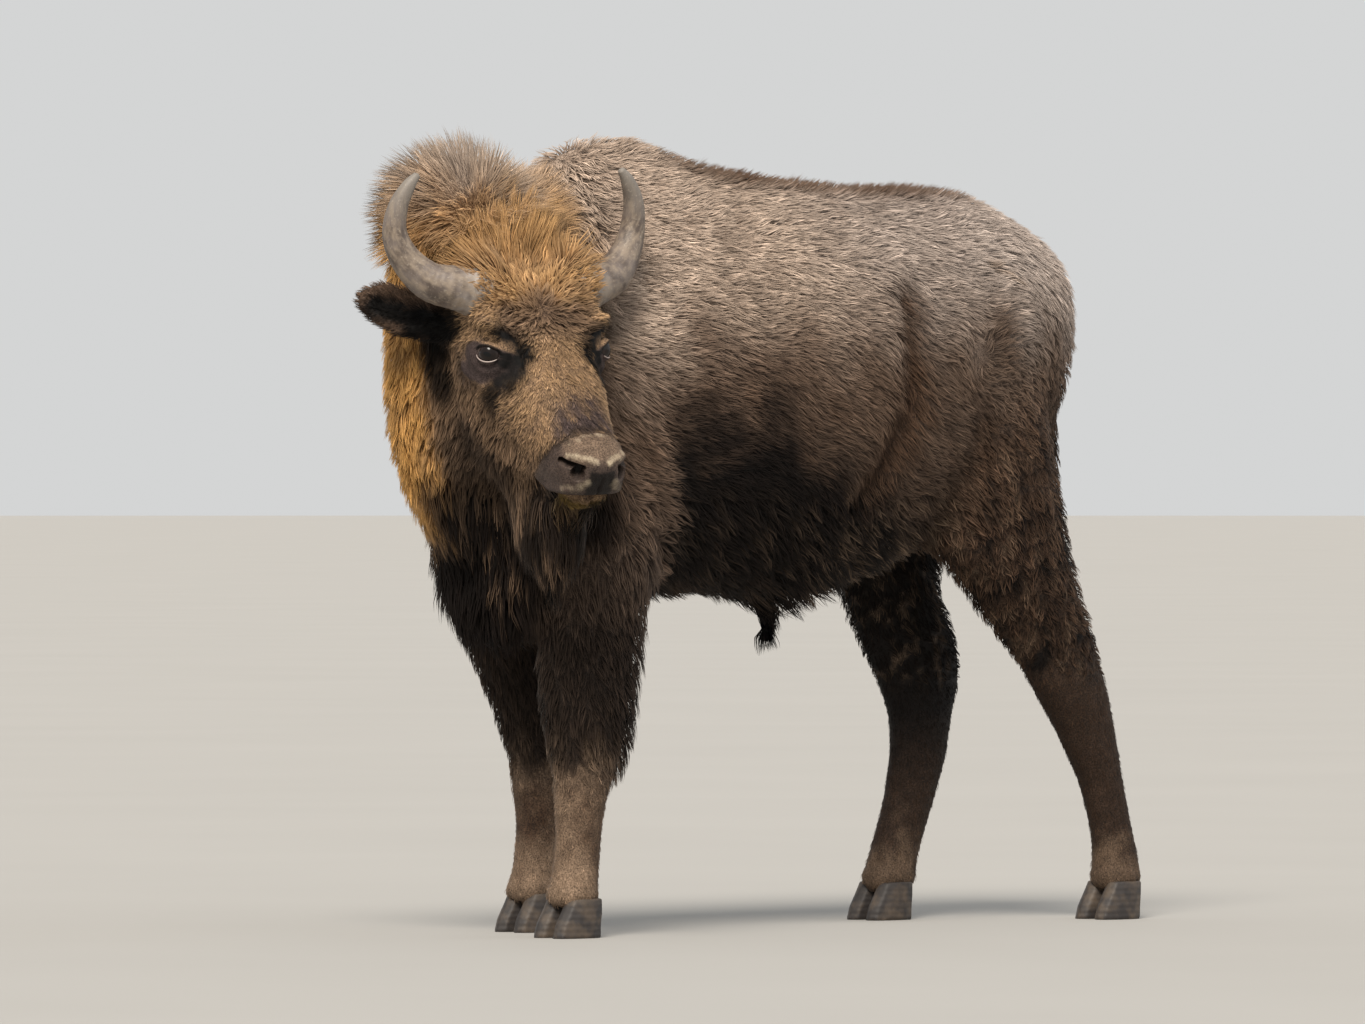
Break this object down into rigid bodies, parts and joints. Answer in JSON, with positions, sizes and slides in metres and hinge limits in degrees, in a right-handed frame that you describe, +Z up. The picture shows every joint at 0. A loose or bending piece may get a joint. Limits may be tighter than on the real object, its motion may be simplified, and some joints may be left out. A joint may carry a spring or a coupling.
{
  "type": "wisent",
  "caption": "Standing young bull wisent (European bison) in winter coat, head turned to its left and lowered, feet flat on the ground.",
  "frame": {"origin": "on the ground under the middle of the figure's bounding box", "axes": "+Z up, the trunk along X with the animal facing -X, its left side towards -Y"},
  "size_m": [1.98, 0.7886, 1.5963],
  "materials": {
    "body_coat": "long woolly winter hair, matt, brown with pale tips",
    "mane_coat": "long shaggy hair, golden brown to grey brown",
    "face_coat": "short dense hair, golden brown, dark round the eye and muzzle",
    "dark_coat": "shaggy dark brown hair",
    "beard_coat": "long hanging dark brown hair",
    "horn": "grey horn with a pale base and a darker tip",
    "hoof": "dark horn, dull",
    "eye": "wet, very dark brown"
  },
  "bodies": {
    "root": {"barrel": "body_coat", "beard": "beard_coat", "ear_left": "dark_coat", "ear_right": "dark_coat", "eye_left": "eye", "eye_right": "eye", "head": "face_coat", "hindquarters": "body_coat", "hoof_front_left_inner": "hoof", "hoof_front_left_outer": "hoof", "hoof_front_right_inner": "hoof", "hoof_front_right_outer": "hoof", "hoof_hind_left_inner": "hoof", "hoof_hind_left_outer": "hoof", "hoof_hind_right_inner": "hoof", "hoof_hind_right_outer": "hoof", "horn_left": "horn", "horn_right": "horn", "leg_front_left": "dark_coat", "leg_front_right": "dark_coat", "leg_hind_left": "dark_coat", "leg_hind_right": "dark_coat", "lower_jaw": "face_coat", "neck": "mane_coat", "sheath_tuft": "dark_coat", "shin_front_left": "dark_coat", "shin_front_right": "dark_coat", "shin_hind_left": "dark_coat", "shin_hind_right": "dark_coat", "shoulders": "body_coat", "tail": "dark_coat", "tail_tuft": "dark_coat"}
  },
  "joints": []
}
